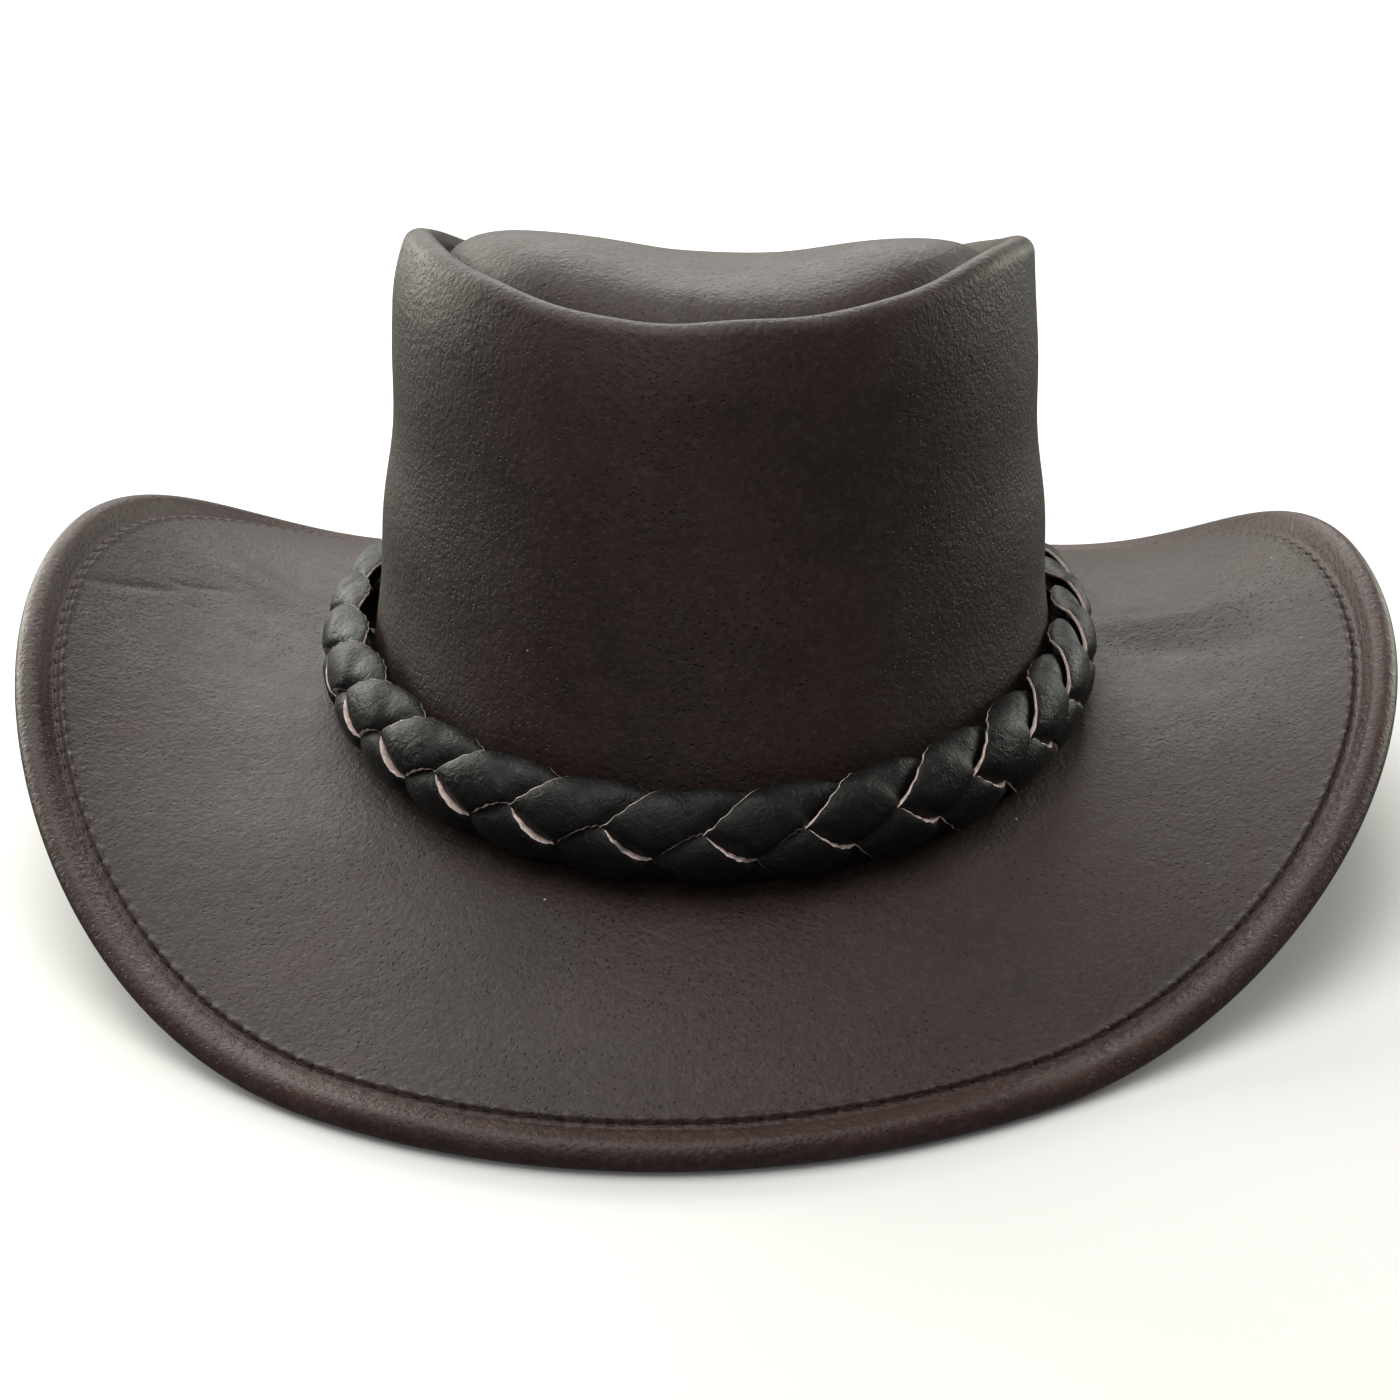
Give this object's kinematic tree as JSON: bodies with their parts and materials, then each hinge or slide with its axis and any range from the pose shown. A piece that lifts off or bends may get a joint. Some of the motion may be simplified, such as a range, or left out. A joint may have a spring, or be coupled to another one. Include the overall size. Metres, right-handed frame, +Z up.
{
  "type": "cowboy hat",
  "caption": "Wide-brimmed leather hat with a curled, wired brim, a creased crown and a braided leather band that lifts off.",
  "frame": {"origin": "middle of the hat's box, on the plane that the front and back of the brim stand on", "axes": "+Z up through the crown, -Y towards the front of the hat, +X towards the wearer's left side"},
  "size_m": [0.3486, 0.3686, 0.1594],
  "materials": {
    "leather": "satin",
    "suede": "matte",
    "lace": "satin",
    "thread": "matte",
    "tape": "matte",
    "steel": "satin",
    "brass": "satin"
  },
  "bodies": {
    "hat": {"crown_side_panel": "leather", "crown_top_panel": "leather", "top_seam_tape": "tape", "back_seam_tape": "tape", "back_seam_thread_left": "thread", "back_seam_thread_right": "thread", "brim_upper": "leather", "brim_lower": "suede", "brim_wire": "steel", "wire_joint_sleeve": "brass", "edge_thread_top": "thread", "edge_thread_bottom": "thread", "sweatband": "suede", "sweatband_joint_tab": "suede", "sweatband_thread": "thread"},
    "band": {"braid_strand_1": "lace", "braid_strand_2": "lace", "braid_strand_3": "lace", "band_keeper": "lace", "keeper_thread_left": "thread", "keeper_thread_right": "thread"}
  },
  "joints": [
    {"name": "band_lift", "type": "slide", "parent": "hat", "child": "band", "axis": [0, 0, 1], "range_m": [0, 0.14]}
  ]
}
